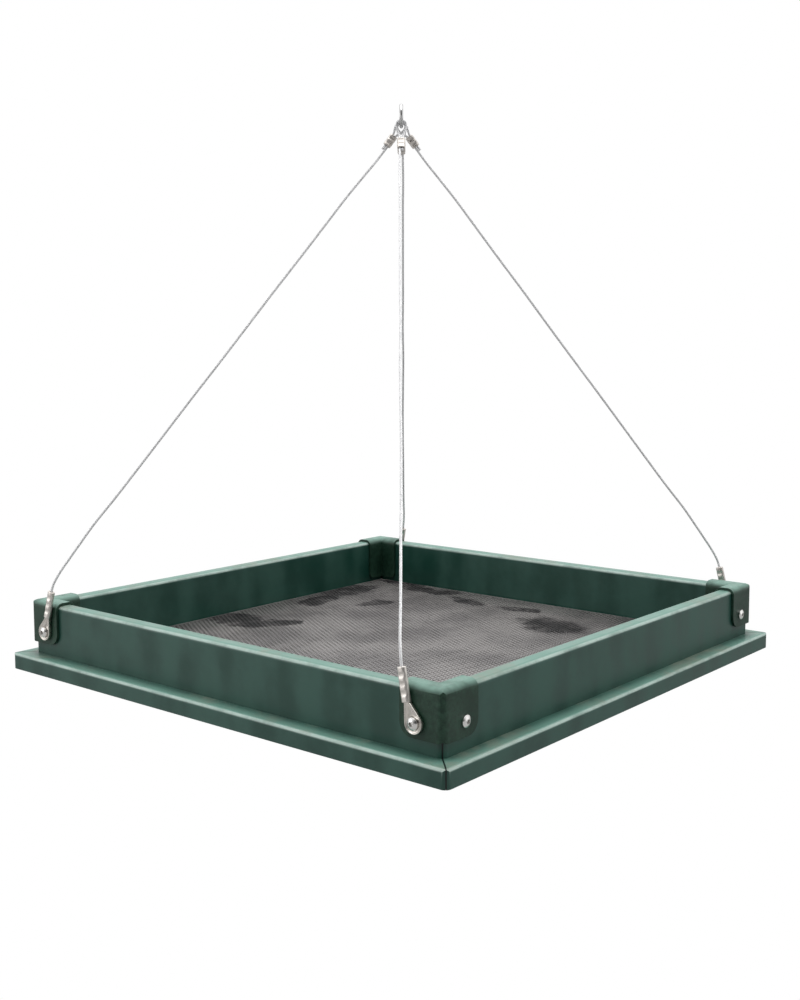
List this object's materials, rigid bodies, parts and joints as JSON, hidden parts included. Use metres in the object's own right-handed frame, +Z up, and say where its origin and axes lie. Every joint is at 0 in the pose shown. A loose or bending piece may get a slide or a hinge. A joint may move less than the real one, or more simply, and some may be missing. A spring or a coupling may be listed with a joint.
{
  "type": "hanging tray bird feeder",
  "caption": "Square open tray with rolled-edge ledge, moulded corner caps and perforated floor, hung from one ring by wire ropes.",
  "frame": {"origin": "inside top of the hanging ring, where a hook bears", "axes": "+Z up; +X and +Y square to the tray's walls"},
  "size_m": [0.44, 0.44, 0.445],
  "materials": {
    "lumber_plastic": "satin",
    "cap_plastic": "satin",
    "sheet_metal": "matte",
    "wire_rope": "satin",
    "sleeve_aluminium": "satin",
    "lug_steel": "satin",
    "screw_steel": "polished",
    "ring_steel": "polished"
  },
  "bodies": {
    "hanger": {"ring": "ring_steel"},
    "tray": {"rope_front": "wire_rope", "rope_left": "wire_rope", "rope_right": "wire_rope", "rope_back": "wire_rope", "top_sleeve_front": "sleeve_aluminium", "top_sleeve_left": "sleeve_aluminium", "top_sleeve_right": "sleeve_aluminium", "top_sleeve_back": "sleeve_aluminium", "low_sleeve_front": "sleeve_aluminium", "low_sleeve_left": "sleeve_aluminium", "low_sleeve_right": "sleeve_aluminium", "low_sleeve_back": "sleeve_aluminium", "lug_front": "lug_steel", "lug_left": "lug_steel", "lug_right": "lug_steel", "lug_back": "lug_steel", "lug_screws": "screw_steel", "lug_washers": "screw_steel", "cap_screws": "screw_steel", "base_screws": "screw_steel", "cap_front": "cap_plastic", "cap_left": "cap_plastic", "cap_right": "cap_plastic", "cap_back": "cap_plastic", "wall_south": "lumber_plastic", "wall_east": "lumber_plastic", "wall_north": "lumber_plastic", "wall_west": "lumber_plastic", "rail_south": "lumber_plastic", "rail_east": "lumber_plastic", "rail_north": "lumber_plastic", "rail_west": "lumber_plastic"},
    "floor": {"floor_sheet": "sheet_metal"}
  },
  "joints": [
    {"name": "tray_swing", "type": "hinge", "parent": "hanger", "child": "tray", "pos_m": [0, 0, -0.0145], "axis": [-0.6428, 0.766, 0], "range_deg": [-20, 20]},
    {"name": "floor_lift", "type": "slide", "parent": "tray", "child": "floor", "axis": [0, 0, 1], "range_m": [0, 0.045]}
  ]
}
